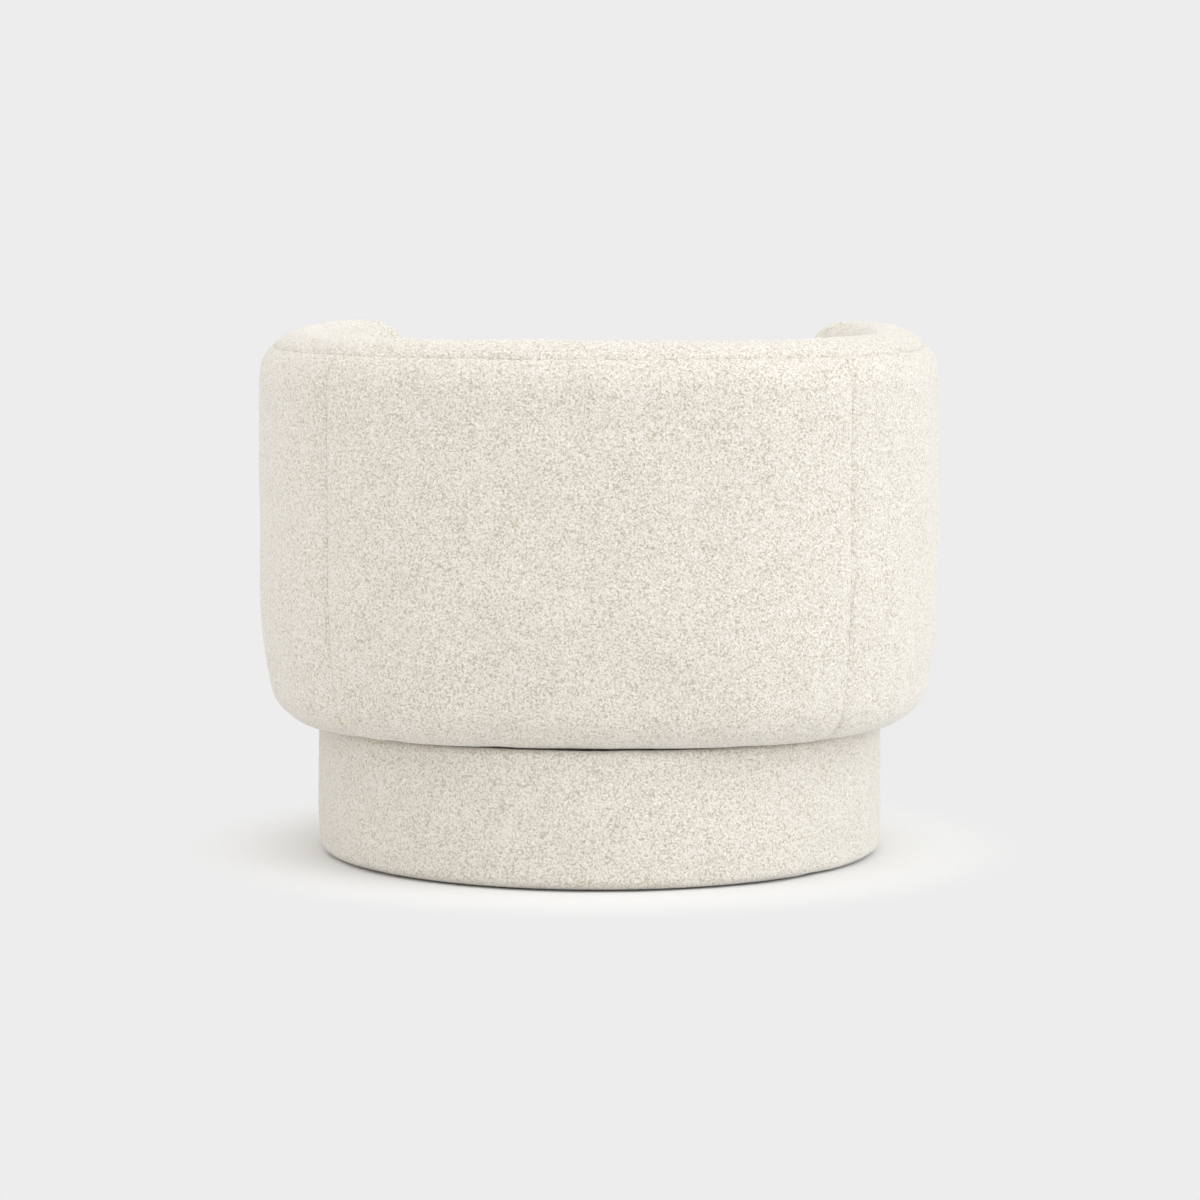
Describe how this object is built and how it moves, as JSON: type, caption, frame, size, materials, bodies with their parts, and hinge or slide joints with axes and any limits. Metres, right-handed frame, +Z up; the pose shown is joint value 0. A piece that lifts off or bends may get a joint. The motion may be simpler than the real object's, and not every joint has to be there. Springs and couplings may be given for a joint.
{
  "type": "tub chair",
  "caption": "Round-cornered upholstered tub chair whose seat shell turns on a round covered plinth, with a loose seat cushion.",
  "frame": {"origin": "on the floor, under the swivel's axis and the middle of the tub", "axes": "+Z up, the sitter faces -Y, +X to the sitter's left"},
  "size_m": [0.8598, 0.7982, 0.665],
  "materials": {
    "boucle": "looped cream boucle",
    "foam": "open cell polyurethane foam",
    "timber": "bare birch plywood and timber",
    "bending_board": "thin bendable board",
    "dust_cloth": "black non-woven cloth",
    "hessian": "woven jute",
    "steel": "zinc plated",
    "nylon": "moulded nylon",
    "zip_tape": "cream zip"
  },
  "bodies": {
    "plinth": {"plinth_bottom_ring": "timber", "plinth_ribs": "timber", "plinth_top_board": "timber", "plinth_reinforcement": "timber", "plinth_skin": "bending_board", "plinth_padding": "foam", "plinth_cover": "boucle", "plinth_dust_cloth": "dust_cloth", "glides": "nylon", "swivel_lower_ring": "steel", "swivel_lower_screws": "steel", "pivot_bush": "nylon"},
    "ball_cage": {"swivel_cage": "nylon", "swivel_balls": "steel"},
    "tub": {"swivel_upper_ring": "steel", "swivel_upper_screws": "steel", "pivot_bolt": "steel", "pivot_washer": "steel", "pivot_nut": "steel", "tub_base_board": "timber", "base_board_screws": "steel", "lower_rail": "timber", "lower_studs": "timber", "middle_rail": "timber", "upper_studs": "timber", "top_rail": "timber", "arm_front_posts": "timber", "front_studs": "timber", "front_top_rail": "timber", "outer_skin": "bending_board", "front_skin": "bending_board", "inner_lining": "bending_board", "seat_ring_rail": "timber", "seat_springs": "steel", "spring_clips": "steel", "spring_ties": "steel", "deck_hessian": "hessian", "deck_foam": "foam", "deck_cover": "boucle", "outside_foam": "foam", "inside_foam": "foam", "top_roll_foam": "foam", "front_apron_foam": "foam", "arm_end_foam_left": "foam", "arm_end_foam_right": "foam", "outside_back_panel": "boucle", "outside_side_panel_left": "boucle", "outside_side_panel_right": "boucle", "inside_cover": "boucle", "front_apron_cover": "boucle", "arm_end_cover_left": "boucle", "arm_end_cover_right": "boucle", "tub_dust_cloth": "dust_cloth"},
    "seat_cushion": {"seat_cushion_core": "foam", "seat_cushion_top_panel": "boucle", "seat_cushion_border": "boucle", "seat_cushion_bottom_panel": "boucle", "seat_cushion_zip": "zip_tape"}
  },
  "joints": [
    {"name": "seat_swivel", "type": "hinge", "parent": "plinth", "child": "tub", "pos_m": [0, 0, 0.1715], "axis": [0, 0, 1], "continuous": true},
    {"name": "cage_orbit", "type": "hinge", "parent": "plinth", "child": "ball_cage", "pos_m": [0, 0, 0.1715], "axis": [0, 0, 1], "continuous": true},
    {"name": "cushion_lift", "type": "slide", "parent": "tub", "child": "seat_cushion", "axis": [0, 0, 1], "range_m": [0, 0.3]}
  ],
  "couplings": [
    {"joint": "cage_orbit", "follows": "seat_swivel", "ratio": 0.5}
  ]
}
